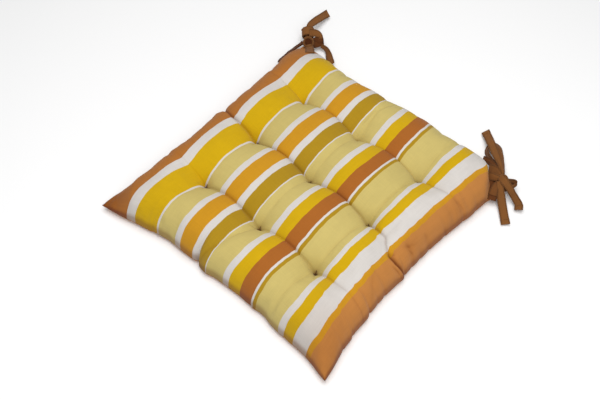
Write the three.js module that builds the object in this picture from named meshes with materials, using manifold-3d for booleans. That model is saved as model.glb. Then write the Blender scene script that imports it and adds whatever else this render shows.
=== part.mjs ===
// A square tufted chair pad with a striped cover and a pair of cloth ties at each back corner.
// Millimetres, +Z up. The pad lies on its back with its front edge towards -Y.

import * as THREE from 'three';
import { mergeVertices } from 'three/addons/utils/BufferGeometryUtils.js';
import Module from 'manifold-3d';

// Pad sizes
const tuftPitch = { x: 98, y: 96.5 };
const crownHeight = 60;
const creaseHeight = 46;
const grooveHeight = 52.5;
const tuftHeight = 30;
const seamHeight = 8;
const cornerSeamHeight = 11;
const unevenness = 0.04;

// Roundness of the cells: powers of the swell across a row, along a row and out to the seam,
// and how far the creases and grooves fade out before the seam
const swellAcross = 1.0;
const swellAlong = 0.62;
const swellSeaward = 3.3;
const fallRoundness = 2.9;
const fallSteepness = 0.44;
const rowFade = 0.6;

// Underside sizes
const undersideDimple = 10;
const undersideCrease = 4;
const undersideCreaseWidth = 9;
const undersideFlatCut = 1;

// The seam's four corners as they show in plan, measured from the middle tuft
const corners = {
  frontLeft: { x: -184, y: -200.5 },
  frontRight: { x: 193, y: -189.5 },
  backRight: { x: 193.5, y: 188.5 },
  backLeft: { x: -186, y: 190 },
};

// Each side draws in between its corners. A deep fold crosses the seam near its middle, and
// smaller nicks where the other creases meet it.
const sides = {
  front: { from: corners.frontLeft, to: corners.frontRight, draw: 16, foldAt: -0.13, fold: 6, nick: 1.5 },
  right: { from: corners.frontRight, to: corners.backRight, draw: 18, foldAt: -0.1, fold: 3, nick: 0.5 },
  back: { from: corners.backLeft, to: corners.backRight, draw: 3, foldAt: 0.02, fold: 4, nick: 0.5 },
  left: { from: corners.frontLeft, to: corners.backLeft, draw: 8, foldAt: 0.09, fold: 4, nick: 0.5 },
};
const pinchWidth = 0.05;

// The ties pull the tip of the back right corner in
const cornerPull = { x: 7, y: 19 };
const cornerPullSpread = 4.5;

// Grid of the pad's faces: steps in each of the four cells along a side
const cells = 4;
const stepsPerCell = 10;
const seamCrowding = 1.5;

// Tie sizes
const tapeWidth = 11.5;
const tapeThickness = 1.8;
const hemLength = 8;
const hemThickness = 2.8;
const stepsPerRow = 3;
const knotRadius = 5;
const knotGap = 0.4;
const knotSides = 10;

const wasm = await Module();
wasm.setup();

const clothTop = new THREE.MeshStandardMaterial({ color: 0xd8b45a, roughness: 0.9, metalness: 0 });
const clothTie = new THREE.MeshStandardMaterial({ color: 0x7a4e26, roughness: 0.9, metalness: 0 });

const mix = THREE.MathUtils.lerp;

// Share of the way from the outer tuft row to the seam, 0 inside the rows
function seaward(s) {
  return Math.max(0, (Math.abs(s) - 0.5) / 0.5);
}

// How far a side's seam lies from the middle tuft at t, from -1 to 1 along the side
function seamReach(side, axis, t) {
  const straight = mix(side.from[axis], side.to[axis], (t + 1) / 2);
  const inward = -Math.sign(straight);
  const full = Math.cos(seaward(t) * Math.PI / 2) ** 2;
  const pinch = (at, depth) => depth * Math.exp(-(((t - at) / pinchWidth) ** 2));
  const pinches = pinch(side.foldAt, side.fold) + pinch(-0.5, side.nick) + pinch(0.5, side.nick);
  return straight + inward * (side.draw * full + pinches);
}

// Plan place of the cloth point (s, t), both from -1 to 1 across the pad
function planPoint(s, t) {
  const sideX = seamReach(s < 0 ? sides.left : sides.right, 'x', t);
  const sideY = seamReach(t < 0 ? sides.front : sides.back, 'y', s);
  const tuftX = 2 * tuftPitch.x * THREE.MathUtils.clamp(s, -0.5, 0.5);
  const tuftY = 2 * tuftPitch.y * THREE.MathUtils.clamp(t, -0.5, 0.5);
  const pull = s > 0 && t > 0 ? (seaward(s) * seaward(t)) ** cornerPullSpread : 0;
  return {
    x: mix(tuftX, sideX, seaward(s)) - pull * cornerPull.x,
    y: mix(tuftY, sideY, seaward(t)) - pull * cornerPull.y,
  };
}

// Swell of the filling between tuft rows: 0 on a row, 1 between rows and towards the seam
function swell(s, roundness) {
  if (Math.abs(s) > 0.5) return 1 - (1 - seaward(s)) ** swellSeaward;
  const w = (2 * Math.abs(s)) % 1;
  return (4 * w * (1 - w)) ** roundness;
}

// Fall of the top from the crown to the seam, with upright sides
function fall(s) {
  return (1 - seaward(s) ** fallRoundness) ** fallSteepness;
}

function seamLift(s, t) {
  return mix(seamHeight, cornerSeamHeight, (seaward(s) * seaward(t)) ** 2);
}

// Sharp creases run across the pad through the tufts, softer grooves run front to back
function topHeight(s, t) {
  const across = mix(swell(s, swellAcross), 1, rowFade * seaward(t) ** 2);
  const along = mix(swell(t, swellAlong), 1, rowFade * seaward(s) ** 2);
  const creaseRise = creaseHeight - tuftHeight;
  const grooveRise = grooveHeight - tuftHeight;
  const crownRise = crownHeight - tuftHeight - creaseRise - grooveRise;
  const rise = tuftHeight - seamHeight + creaseRise * across + grooveRise * along + crownRise * across * along;
  const uneven = 1 + unevenness * Math.sin(2.3 * s + 1.1) * Math.cos(2.9 * t - 0.4);
  return seamLift(s, t) + fall(s) * fall(t) * rise * uneven;
}

// Closeness to the nearest tuft row, 1 on the row and 0 away from it
function nearRow(s) {
  const distance = Math.min(...[-0.5, 0, 0.5].map((row) => Math.abs(s - row))) * 2 * tuftPitch.x;
  return Math.exp(-((distance / undersideCreaseWidth) ** 2));
}

// The underside rests flat in each cell, with dimples at the tufts and rolled edges
function undersideHeight(s, t) {
  const edge = 1 - fall(s) * fall(t);
  const crease = undersideCrease * Math.max(nearRow(s), nearRow(t));
  const dimple = (undersideDimple - undersideCrease) * nearRow(s) * nearRow(t);
  const rolled = mix(crease + dimple, seamLift(s, t) + undersideFlatCut, edge ** 1.6);
  return Math.max(0, rolled - undersideFlatCut);
}

// Share of the side at grid line i, with lines crowded towards the seam
function gridShare(i) {
  const linear = -1 + (2 * i) / (cells * stepsPerCell);
  const w = seaward(linear);
  return w === 0 ? linear : Math.sign(linear) * (0.5 + 0.5 * (1 - (1 - w) ** seamCrowding));
}

function padGeometry() {
  const n = cells * stepsPerCell;
  const positions = [];
  const topIndex = [];
  const lowIndex = [];
  const addPoint = (s, t, z) => {
    const { x, y } = planPoint(s, t);
    positions.push(x, y, z);
    return positions.length / 3 - 1;
  };
  for (let j = 0; j <= n; j += 1) {
    for (let i = 0; i <= n; i += 1) {
      const s = gridShare(i);
      const t = gridShare(j);
      const onSeam = i === 0 || j === 0 || i === n || j === n;
      topIndex.push(addPoint(s, t, onSeam ? seamLift(s, t) : topHeight(s, t)));
      lowIndex.push(onSeam ? topIndex.at(-1) : addPoint(s, t, undersideHeight(s, t)));
    }
  }
  const faces = [];
  const at = (index, i, j) => index[j * (n + 1) + i];
  for (let j = 0; j < n; j += 1) {
    for (let i = 0; i < n; i += 1) {
      const towardsCorner = (i < n / 2) === (j < n / 2);
      for (const [index, flip] of [[topIndex, false], [lowIndex, true]]) {
        const a = at(index, i, j);
        const b = at(index, i + 1, j);
        const c = at(index, i + 1, j + 1);
        const d = at(index, i, j + 1);
        const pair = towardsCorner ? [[a, b, c], [a, c, d]] : [[a, b, d], [b, c, d]];
        for (const [p, q, r] of pair) faces.push(...(flip ? [p, r, q] : [p, q, r]));
      }
    }
  }
  const geometry = new THREE.BufferGeometry();
  geometry.setAttribute('position', new THREE.Float32BufferAttribute(positions, 3));
  geometry.setIndex(faces);
  return geometry;
}

// A length of folded tape. Each row is a place on its middle line and its tilt about that
// line in degrees: 0 lies flat, 90 stands on edge. hemmed thickens the last stretch.
function strapGeometry({ rows, hemmed = false }) {
  const places = rows.map(([x, y, z]) => new THREE.Vector3(x, y, z));
  const curve = new THREE.CatmullRomCurve3(places, false, 'centripetal');
  const steps = (rows.length - 1) * stepsPerRow;
  const up = new THREE.Vector3(0, 0, 1);
  const end = curve.getPoint(1);
  const positions = [];
  for (let k = 0; k <= steps; k += 1) {
    const u = k / steps;
    const place = curve.getPoint(u);
    const tangent = curve.getTangent(u);
    const along = u * (rows.length - 1);
    const row = Math.min(rows.length - 2, Math.floor(along));
    const tilt = THREE.MathUtils.degToRad(mix(rows[row][3], rows[row + 1][3], along - row));
    const across = new THREE.Vector3().crossVectors(tangent, up).normalize().applyAxisAngle(tangent, tilt);
    const outward = new THREE.Vector3().crossVectors(across, tangent).normalize();
    const thick = hemmed && place.distanceTo(end) < hemLength ? hemThickness : tapeThickness;
    for (const [w, h] of [[-1, -1], [1, -1], [1, 1], [-1, 1]]) {
      const point = place.clone();
      point.addScaledVector(across, w * tapeWidth / 2).addScaledVector(outward, h * thick / 2);
      positions.push(point.x, point.y, point.z);
    }
  }
  const faces = [0, 1, 2, 0, 2, 3];
  for (let k = 0; k < steps; k += 1) {
    for (let c = 0; c < 4; c += 1) {
      const a = 4 * k + c;
      const b = 4 * k + (c + 1) % 4;
      faces.push(a, b + 4, b, a, a + 4, b + 4);
    }
  }
  const last = 4 * steps;
  faces.push(last, last + 2, last + 1, last, last + 3, last + 2);
  const geometry = new THREE.BufferGeometry();
  geometry.setAttribute('position', new THREE.Float32BufferAttribute(positions, 3));
  geometry.setIndex(faces);
  return geometry;
}

// Turns a geometry built along +Y to lie along axis, centred at place
function alongAxis(geometry, place, axis) {
  const direction = new THREE.Vector3(...axis).normalize();
  const turn = new THREE.Quaternion().setFromUnitVectors(new THREE.Vector3(0, 1, 0), direction);
  return geometry.applyQuaternion(turn).translate(...place);
}

// The bundled middle of a knot, from start to end along its axis
function knotCore({ place, axis, start, end }) {
  const core = new THREE.CylinderGeometry(knotRadius, knotRadius, end - start, knotSides);
  core.translate(0, (start + end) / 2, 0);
  return alongAxis(core, place, axis);
}

// The turn of tape that wraps the bundle
function knotWrap({ place, axis, width }) {
  const inner = knotRadius + knotGap;
  const outer = inner + tapeThickness;
  const profile = [[inner, -width / 2], [outer, -width / 2], [outer, width / 2], [inner, width / 2]];
  const closed = [...profile, profile[0]].map(([x, y]) => new THREE.Vector2(x, y));
  return alongAxis(new THREE.LatheGeometry(closed, 2 * knotSides), place, axis);
}

function solidOf(geometry) {
  geometry.deleteAttribute('normal');
  geometry.deleteAttribute('uv');
  const merged = mergeVertices(geometry, 1e-4);
  return new wasm.Manifold(new wasm.Mesh({
    numProp: 3,
    vertProperties: new Float32Array(merged.attributes.position.array),
    triVerts: new Uint32Array(merged.index.array),
  }));
}

function joinedMesh(name, geometries, material) {
  const solid = geometries.map(solidOf).reduce((whole, piece) => whole.add(piece));
  const { vertProperties, triVerts } = solid.getMesh();
  const geometry = new THREE.BufferGeometry();
  geometry.setAttribute('position', new THREE.BufferAttribute(new Float32Array(vertProperties), 3));
  geometry.setIndex(new THREE.BufferAttribute(new Uint32Array(triVerts), 1));
  return namedMesh(name, geometry, material);
}

function namedMesh(name, geometry, material) {
  geometry.computeVertexNormals();
  const mesh = new THREE.Mesh(geometry, material);
  mesh.name = name;
  return mesh;
}

// Rows of every strap: x, y, z, tilt
const rightKnot = { place: [182, 185.5, 18], axis: [-0.6, 0.8, -0.05] };
const rightTie = {
  endUp: {
    rows: [[174, 191, 18, 0], [162, 205, 17, 0], [148, 217, 14, 0], [131, 232, 8, 0], [109, 249, 3.5, 0]],
    hemmed: true,
  },
  endDown: {
    rows: [[186, 180, 18, 0], [195, 173, 17, -4], [201, 164, 12, -2], [206, 155, 6, 0], [211, 147, 3, 0],
      [221, 138, 1.6, 0]],
    hemmed: true,
  },
  loopBack: {
    rows: [[172, 195, 17, 60], [161, 209, 12, 80], [149, 225, 9, 85], [138, 232, 8, 85], [130, 228, 8, 85],
      [131, 218, 8, 85], [139, 210, 9, 85], [151, 203, 11, 80], [167, 194, 16, 70]],
  },
  root: { rows: [[160, 191, 12, 80], [167, 192, 14, 80], [175, 193, 17, 70]] },
  endSide: {
    rows: [[186.7, 190, 17, 80], [194, 185, 14, 60], [202, 181, 9, 45], [210, 178, 7, 40], [217, 173, 6, 50],
      [219, 165, 6, 70]],
    hemmed: true,
  },
  loopSide: {
    rows: [[185, 192, 18, 80], [191, 196, 14, 88], [197, 197, 11, 90], [200, 191, 10, 90], [194, 186, 12, 90],
      [189, 188, 17, 80]],
  },
};

const leftKnot = { place: [-188, 203, 17], axis: [0.37, -0.42, 0.83] };
const leftTie = {
  endUp: {
    rows: [[-192, 208, 7, 40], [-200, 217, 12, 30], [-206, 228, 17, 20], [-211, 240, 15, 0],
      [-212, 256, 10, 0], [-211, 271, 6, 0]],
    hemmed: true,
  },
  endLeft: {
    rows: [[-193, 209, 6, 60], [-198, 199, 6.5, 70], [-198, 183, 7, 74], [-198, 167, 7, 74], [-196, 150, 7, 74]],
    hemmed: true,
  },
  root: { rows: [[-176, 195, 13, 40], [-179, 197, 15, 40], [-182, 200, 17, 40]] },
  loopBack: {
    rows: [[-197, 208, 23, 70], [-191, 213, 23, 70], [-184, 219, 20, 75], [-177, 218, 15, 85],
      [-172, 212, 12, 85], [-174, 206, 12, 80], [-180, 205, 14, 70]],
  },
  endRight: {
    rows: [[-175, 212, 12, 60], [-168, 213, 9, 60], [-158, 210, 8, 58], [-148, 203, 7, 55], [-141, 195, 7, 55]],
    hemmed: true,
  },
};

const pad = namedMesh('pad', padGeometry(), clothTop);

const rightBundle = joinedMesh('tie_right_long', [
  knotCore({ ...rightKnot, start: -8, end: 8 }),
  strapGeometry(rightTie.endUp),
  strapGeometry(rightTie.endDown),
  strapGeometry(rightTie.loopBack),
  strapGeometry(rightTie.root),
], clothTie);

const rightWrap = joinedMesh('tie_right_wrap', [
  knotWrap({ ...rightKnot, width: 9 }),
  strapGeometry(rightTie.endSide),
  strapGeometry(rightTie.loopSide),
], clothTie);

const leftBundle = joinedMesh('tie_left_long', [
  knotCore({ ...leftKnot, start: -12, end: 2 }),
  strapGeometry(leftTie.endUp),
  strapGeometry(leftTie.endLeft),
], clothTie);

const leftWrap = joinedMesh('tie_left_wrap', [
  knotWrap({ ...leftKnot, width: 10 }),
  strapGeometry(leftTie.root),
  strapGeometry(leftTie.loopBack),
  strapGeometry(leftTie.endRight),
], clothTie);

// The whole part stands on the plane z = 0 with the middle of its box over the origin
const chairPad = new THREE.Group();
chairPad.add(pad, rightBundle, rightWrap, leftBundle, leftWrap);
const box = new THREE.Box3().setFromObject(chairPad);
chairPad.position.set(-(box.min.x + box.max.x) / 2, -(box.min.y + box.max.y) / 2, -box.min.z);

export default chairPad;
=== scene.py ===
# A square tufted chair pad: striped cotton top, plain underside and knotted cloth ties.
# Sizes are in millimetres from the middle tuft and the floor, unless a name says otherwise.

import math

import bpy
import numpy as np
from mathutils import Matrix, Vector


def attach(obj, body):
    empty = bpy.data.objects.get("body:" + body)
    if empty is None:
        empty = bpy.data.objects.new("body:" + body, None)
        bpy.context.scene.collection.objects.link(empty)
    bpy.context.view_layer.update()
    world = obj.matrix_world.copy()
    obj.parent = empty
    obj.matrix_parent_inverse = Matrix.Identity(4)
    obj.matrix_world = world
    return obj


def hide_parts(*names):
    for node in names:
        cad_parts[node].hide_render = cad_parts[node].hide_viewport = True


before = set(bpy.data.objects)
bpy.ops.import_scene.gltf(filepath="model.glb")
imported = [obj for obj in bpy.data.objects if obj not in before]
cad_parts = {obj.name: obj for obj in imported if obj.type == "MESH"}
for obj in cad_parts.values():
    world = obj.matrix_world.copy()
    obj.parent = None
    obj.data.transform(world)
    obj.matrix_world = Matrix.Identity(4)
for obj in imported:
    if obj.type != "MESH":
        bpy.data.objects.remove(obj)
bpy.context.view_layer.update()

MM = 0.001
MIDDLE_TUFT = Vector((-3.6, -35.6, 0.0))


def in_frame(x, y, z):
    """A place given from the middle tuft, as metres in the row frame."""
    return (Vector((x, y, z)) + MIDDLE_TUFT) * MM


bpy.context.scene.view_settings.view_transform = "Standard"

# Camera

CAMERA_PLACE = (460.8, -524.3, 972.5)
CAMERA_TURN_DEG = (35.37, -0.09, 42.55)
LENS = 53.45
SENSOR = 36.0


def make_camera():
    data = bpy.data.cameras.new("camera")
    data.lens = LENS
    data.sensor_width = SENSOR
    camera = bpy.data.objects.new("camera", data)
    camera.location = in_frame(*CAMERA_PLACE)
    camera.rotation_euler = [math.radians(a) for a in CAMERA_TURN_DEG]
    bpy.context.scene.collection.objects.link(camera)
    bpy.context.scene.camera = camera


make_camera()


# Shape of the cushion. The quilting has its own coordinates a (left to right) and b (front to
# back), both from -1 to 1, in which every row of tufts is a straight line. The cloth has s and
# t, in which the stripes are straight and the rows of tufts wander a little.

TUFT_PITCH = {"x": 98.0, "y": 96.5}
TUFT_ROWS = (-0.5, 0.0, 0.5)
TUFTS = [(a, b) for a in TUFT_ROWS for b in TUFT_ROWS]
CROWN, CREASE, GROOVE, TUFT, SEAM, CORNER_SEAM = 60.0, 46.0, 52.5, 30.0, 8.0, 11.0
SWELL_ACROSS, SWELL_ALONG, SWELL_SEAWARD = 0.9, 0.62, 3.3
GROOVE_SOFTNESS = 0.55
UNEVENNESS = 0.04
FALL_ROUNDNESS, FALL_STEEPNESS = 2.9, 0.44

UNDERSIDE_DIMPLE, UNDERSIDE_FLAT_CUT = 10.0, 1.0
UNDERSIDE_CREASE, UNDERSIDE_CREASE_WIDTH = 4.0, 9.0

CORNERS = {
    "front left": (-184.0, -200.5),
    "front right": (193.0, -189.5),
    "back right": (193.5, 188.5),
    "back left": (-186.5, 191.5),
}
# Each side: how far the filling draws the seam in along it, and its sharp nicks as (place,
# depth, width)
SIDES = {
    "front": {
        "from": "front left",
        "to": "front right",
        "drawn": [
            (-1.0, -3.0), (-0.9, 0.0), (-0.8, 3.5), (-0.7, 7.8), (-0.6, 11.0), (-0.5, 15.0),
            (-0.42, 17.7), (-0.28, 17.0), (-0.18, 17.8), (-0.12, 14.5), (-0.07, 12.8), (0.0, 16.0),
            (0.1, 17.0), (0.22, 17.6), (0.34, 15.6), (0.38, 17.0), (0.43, 16.5), (0.5, 12.8),
            (0.58, 10.8), (0.72, 10.0), (0.8, 8.6), (0.88, 5.0), (0.95, 1.0), (1.0, -1.0),
        ],
        "nicks": [(-0.16, 4.5, 0.017), (0.3, 0.8, 0.014), (-0.55, 0.8, 0.014), (0.62, 0.9, 0.014)],
    },
    "right": {
        "from": "front right",
        "to": "back right",
        "drawn": [
            (-1.0, -2.5), (-0.9, 1.2), (-0.8, 6.5), (-0.72, 9.5), (-0.66, 10.5), (-0.61, 13.3),
            (-0.48, 14.2), (-0.43, 16.8), (-0.28, 18.8), (-0.16, 18.2), (-0.1, 16.5), (-0.05, 20.0),
            (0.1, 20.0), (0.25, 19.5), (0.4, 17.0), (0.5, 14.8), (0.6, 12.3), (0.7, 11.4),
            (0.78, 10.0), (0.86, 5.0), (1.0, 0.0),
        ],
        "nicks": [
            (-0.763, 1.3, 0.014), (-0.643, 1.6, 0.014), (-0.448, 1.8, 0.014), (-0.358, 1.0, 0.012),
            (-0.284, 1.2, 0.012), (-0.08, 2.2, 0.014), (0.0, 1.0, 0.012), (0.086, 1.0, 0.012),
            (0.18, 1.4, 0.014), (0.341, 1.2, 0.012), (0.52, 0.9, 0.014), (0.66, 0.8, 0.014),
        ],
    },
    "back": {
        "from": "back left",
        "to": "back right",
        "drawn": [
            (-1.0, 0.0), (-0.7, 2.5), (-0.55, 7.8), (-0.42, 9.0), (-0.3, 7.6), (-0.2, 5.0),
            (-0.05, 4.2), (0.0, 0.8), (0.03, 0.6), (0.1, -0.2), (0.25, -1.6), (0.4, 0.5), (0.5, 0.3),
            (0.6, -1.2), (0.72, -1.6), (0.85, -1.5), (1.0, 0.0),
        ],
        "nicks": [(-0.02, 1.0, 0.02)],
    },
    "left": {
        "from": "front left",
        "to": "back left",
        "drawn": [
            (-1.0, -2.0), (-0.9, 0.8), (-0.8, 5.4), (-0.7, 7.1), (-0.4, 8.7), (-0.32, 9.8),
            (-0.2, 8.8), (-0.08, 6.2), (0.0, 3.6), (0.05, 6.6), (0.3, 7.0), (0.4, 6.0), (0.5, 4.5),
            (0.65, 3.4), (0.7, 1.0), (0.8, -0.8), (0.88, -0.2), (0.95, 0.2), (1.0, -1.0),
        ],
        "nicks": [(0.05, 1.5, 0.02)],
    },
}
CORNER_PULL = (7.0, 19.0)
CORNER_PULL_SPREAD = 4.5

# How far the rows of tufts wander over the cloth, as (place along the row, shift)
CREASE_WANDER = {
    -0.5: [(-1.0, 0.02), (-0.5, 0.0), (0.5, 0.0), (1.0, -0.03)],
    0.0: [
        (-1.0, 0.09), (-0.92, 0.04), (-0.8, 0.015), (-0.5, 0.0), (0.5, 0.0),
        (0.64, -0.03), (0.72, -0.04), (0.8, -0.105), (0.85, -0.127), (0.92, -0.123), (1.0, -0.095),
    ],
    0.5: [(-1.0, 0.0), (-0.5, 0.0), (0.5, 0.0), (1.0, 0.0)],
}
GROOVE_WANDER = {
    -0.5: [(-1.0, 0.0), (-0.5, 0.0), (0.5, 0.0), (1.0, 0.0)],
    0.0: [
        (-1.0, -0.13), (-0.86, -0.07), (-0.65, -0.015), (-0.5, 0.0), (0.5, 0.0),
        (0.75, -0.02), (1.0, 0.02),
    ],
    0.5: [(-1.0, -0.02), (-0.5, -0.01), (0.0, 0.01), (0.25, 0.03), (0.5, 0.035), (1.0, 0.03)],
}

# How much of a row's hollow is lost at the seam at its low and high end
CREASE_FADE = {-0.5: (0.95, 0.8), 0.0: (0.5, 0.4), 0.5: (0.95, 0.85)}
GROOVE_FADE = {-0.5: (0.85, 0.8), 0.0: (0.6, 0.7), 0.5: (0.85, 0.8)}
FADE_FROM, FADE_TO = 0.25, 0.85

# How rounded a crease is along its row: 0 is a tight valley, 1 a soft wave
CREASE_SOFTNESS = {
    -0.5: [(-1.0, 0.6), (-0.66, 0.6), (-0.52, 0.0), (0.6, 0.0), (0.72, 1.0), (1.0, 1.0)],
    0.0: [(-1.0, 0.2), (-0.5, 0.0), (0.62, 0.0), (0.72, 0.7), (0.84, 0.5), (1.0, 0.0)],
    0.5: [(-1.0, 0.6), (-0.66, 0.6), (-0.52, 0.0), (0.58, 0.0), (0.7, 1.0), (1.0, 1.0)],
}

# Depth of the tight fold along a row, as (place along the row, millimetres)
CREASE_FOLD = {
    -0.5: [
        (-1.0, 0.2), (-0.55, 0.3), (-0.48, 2.0), (-0.05, 1.8), (0.05, 1.2), (0.4, 1.6),
        (0.7, 1.4), (0.85, 0.8), (1.0, 1.2),
    ],
    0.0: [
        (-1.0, 4.0), (-0.8, 4.2), (-0.7, 2.4), (-0.5, 2.0), (0.5, 2.0), (0.72, 1.8),
        (0.82, 2.0), (0.86, 6.5), (1.0, 9.0),
    ],
    0.5: [(-1.0, 0.4), (-0.55, 0.5), (-0.48, 1.8), (0.7, 1.6), (0.85, 0.8), (1.0, 0.8)],
}
GROOVE_FOLD = {
    -0.5: [(-1.0, 0.2), (-0.5, 0.8), (0.5, 0.8), (1.0, 0.2)],
    0.0: [(-1.0, 3.5), (-0.85, 2.2), (-0.5, 0.6), (0.5, 0.6), (0.7, 1.4), (1.0, 1.0)],
    0.5: [(-1.0, 0.4), (-0.5, 1.4), (0.5, 1.4), (0.7, 0.8), (1.0, 0.3)],
}
FOLD_WIDTH = {"crease": 2.4, "groove": 4.0}
TUFT_DIMPLE, TUFT_DIMPLE_REACH = 8.5, 6.5

# Small folds of slack cloth, each a line between two places: a, b, a, b, depth and width
SMALL_FOLDS = [
    (0.89, 0.13, 0.99, 0.105, 2.4, 2.2), (0.90, 0.10, 0.94, 0.16, 1.2, 2.5),
    (0.94, 0.232, 0.995, 0.226, 2.4, 1.8), (0.85, 0.015, 0.875, 0.03, 2.0, 2.5),
    (0.985, 0.355, 1.0, 0.36, 1.6, 2.0), (0.9, 0.5, 0.98, 0.53, 1.0, 3.0),
    (0.93, -0.04, 1.0, -0.03, 2.2, 2.0), (0.87, -0.23, 0.98, -0.38, 0.9, 3.5),
    (-0.02, 0.74, -0.03, 0.59, 1.1, 1.8), (-0.5, 0.49, -0.45, 0.43, 1.4, 2.0),
    (0.0, 0.49, 0.04, 0.43, 1.3, 2.0), (0.5, 0.49, 0.55, 0.44, 1.4, 2.0),
    (0.5, -0.02, 0.54, -0.07, 1.3, 2.0), (-0.5, -0.02, -0.46, -0.08, 1.0, 2.0),
    (0.5, -0.51, 0.555, -0.58, 1.6, 2.2), (-0.5, -0.51, -0.47, -0.57, 1.0, 2.0),
    (0.0, -0.51, -0.04, -0.56, 1.0, 2.0), (-0.97, 0.3, -0.88, 0.27, 0.9, 3.0),
    (-0.98, -0.35, -0.9, -0.3, 0.9, 3.0),
]

# Lumps and slack places of the filling: a, b, reach and height in millimetres
FILLING_LUMPS = [
    (-0.92, -0.72, 0.17, -5.0), (-0.86, 0.28, 0.2, 2.5), (-0.88, -0.25, 0.13, 1.5),
    (-0.9, 0.75, 0.15, 2.0), (-0.7, 0.85, 0.2, -2.0), (-0.86, 0.95, 0.15, -9.0),
    (-0.25, 0.88, 0.2, -2.0), (0.25, 0.85, 0.15, 1.0), (0.62, 0.85, 0.2, 3.0),
    (0.25, -0.25, 0.16, 1.0), (-0.25, 0.25, 0.16, -0.8), (0.72, 0.3, 0.16, 1.2),
    (0.74, -0.3, 0.14, 1.0),
]

# The back right corner is nipped in by its tie, and folds into a thin ear
EAR_FOLD_AT, EAR_FOLD_WIDTH, EAR_FOLD_DEPTH, EAR_SHARE = 1.79, 0.035, 0.6, 0.2
FLAT_EAR_FROM, FLAT_EAR_SHARE = 1.72, 0.6
EAR_PRINT = 0.94

# Puckers that the seam gathers: how many along a side, how deep and how far they reach
PUCKERS_PER_SIDE, PUCKER_DEPTH, PUCKER_REACH, PUCKER_START = 19, 2.1, 0.09, 0.012

# Painted shade in tight folds, at the tufts and along the seam: share for each millimetre of
# fold, how much less the softer grooves hold, share on the seam, and how far it spreads
PAINTED_SHADE_PER_FOLD_MM, PAINTED_SHADE_IN_GROOVES, PAINTED_SHADE_ON_SEAM = 0.2, 0.3, 0.75
PAINTED_SHADE_WIDTH = {"fold": 1.4, "tuft": 2.6, "seam": 1.8}

# Patches of painted shade, most of them near the corners: place a, b, reach and share
PAINTED_SHADE_PATCHES = [
    (0.92, -0.88, 0.26, 0.28), (-0.97, -0.98, 0.15, 0.62), (0.93, 0.14, 0.06, 0.12),
    (0.95, 0.45, 0.08, 0.1), (-0.95, 0.9, 0.12, 0.12),
]

# Where the cushion draws the print off its straight lines: place a, b, reach across and
# along, and millimetres to the right
PRINT_DRIFT = [
    (-0.78, -0.5, 0.15, 0.08, 3.0), (-0.78, 0.0, 0.15, 0.07, 4.0), (-0.78, 0.5, 0.15, 0.4, 4.5),
    (-0.8, 1.0, 0.15, 0.12, 3.5), (-0.82, -1.0, 0.15, 0.12, 6.0), (0.68, -0.5, 0.2, 0.08, -4.0),
    (0.68, 0.0, 0.2, 0.09, -6.0), (0.66, 0.5, 0.15, 0.08, -3.0), (0.65, -0.8, 0.12, 0.12, 3.0),
    (0.62, 0.78, 0.1, 0.13, 4.0), (0.78, 0.25, 0.2, 0.1, 2.0), (0.85, -1.0, 0.15, 0.1, -6.0),
    (0.8, 1.0, 0.2, 0.1, -8.0), (0.2, 0.35, 0.12, 0.15, 3.0), (0.2, 1.0, 0.2, 0.12, -8.0),
    (0.2, -1.0, 0.1, 0.12, -4.0),
]


def mix(a, b, share):
    return a + (b - a) * share


def seaward(s):
    """Share of the way from the outer tuft row to the seam."""
    return np.clip((np.abs(s) - 0.5) / 0.5, 0.0, 1.0)


def bell(distance, reach):
    return np.exp(-((distance / reach) ** 2))


def unit(vectors):
    return vectors / np.linalg.norm(vectors, axis=-1, keepdims=True)


def row_shares(place):
    """How much each tuft row governs a place: one on its row, none on the next row."""
    return {
        row: np.where(np.abs(place - row) < 0.5, np.cos(math.pi * (place - row)) ** 2, 0.0)
        for row in TUFT_ROWS
    }


def along_row(table, row, place):
    places, values = zip(*table[row])
    return np.interp(place, places, values)


def cloth_of(a, b):
    """Cloth coordinates of a place of the quilting."""
    s = a + sum(share * along_row(GROOVE_WANDER, row, b) for row, share in row_shares(a).items())
    t = b + sum(share * along_row(CREASE_WANDER, row, a) for row, share in row_shares(b).items())
    return s, t


def print_drift(a, b):
    """How far the print lies to the right of its straight lines, as a share of half the pad."""
    millimetres = sum(
        shift * bell(a - at_a, across) * bell(b - at_b, along)
        for at_a, at_b, across, along, shift in PRINT_DRIFT
    )
    return millimetres / (2 * TUFT_PITCH["x"])


def seam_reach(side_name, axis, t):
    side = SIDES[side_name]
    start = CORNERS[side["from"]][axis]
    end = CORNERS[side["to"]][axis]
    straight = mix(start, end, (t + 1) / 2)
    places, depths = zip(*side["drawn"])
    drawn = sum(np.interp(t + step, places, depths) for step in (-0.012, 0.0, 0.012)) / 3
    for at, depth, width in side["nicks"]:
        drawn = drawn + depth * bell(t - at, width)
    return straight - np.sign(straight) * drawn


def plan_place(s, t):
    side_x = np.where(s < 0, seam_reach("left", 0, t), seam_reach("right", 0, t))
    side_y = np.where(t < 0, seam_reach("front", 1, s), seam_reach("back", 1, s))
    tuft_x = 2 * TUFT_PITCH["x"] * np.clip(s, -0.5, 0.5)
    tuft_y = 2 * TUFT_PITCH["y"] * np.clip(t, -0.5, 0.5)
    pull = np.where((s > 0) & (t > 0), (seaward(s) * seaward(t)) ** CORNER_PULL_SPREAD, 0.0)
    x = mix(tuft_x, side_x, seaward(s)) - pull * CORNER_PULL[0]
    y = mix(tuft_y, side_y, seaward(t)) - pull * CORNER_PULL[1]
    return x, y


def swell(a, roundness, softness=0.0):
    """One wave for each pillow: none on the tuft rows, one between them."""
    between = (2 * np.abs(a)) % 1
    inner = np.maximum(4 * between * (1 - between), 0.0) ** roundness
    inner = mix(inner, 0.5 - 0.5 * np.cos(2 * math.pi * between), softness)
    outer = 1 - (1 - seaward(a)) ** SWELL_SEAWARD
    outer = mix(outer, outer * np.minimum(seaward(a) / 0.25, 1.0), softness)
    return np.where(np.abs(a) > 0.5, outer, inner)


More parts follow.
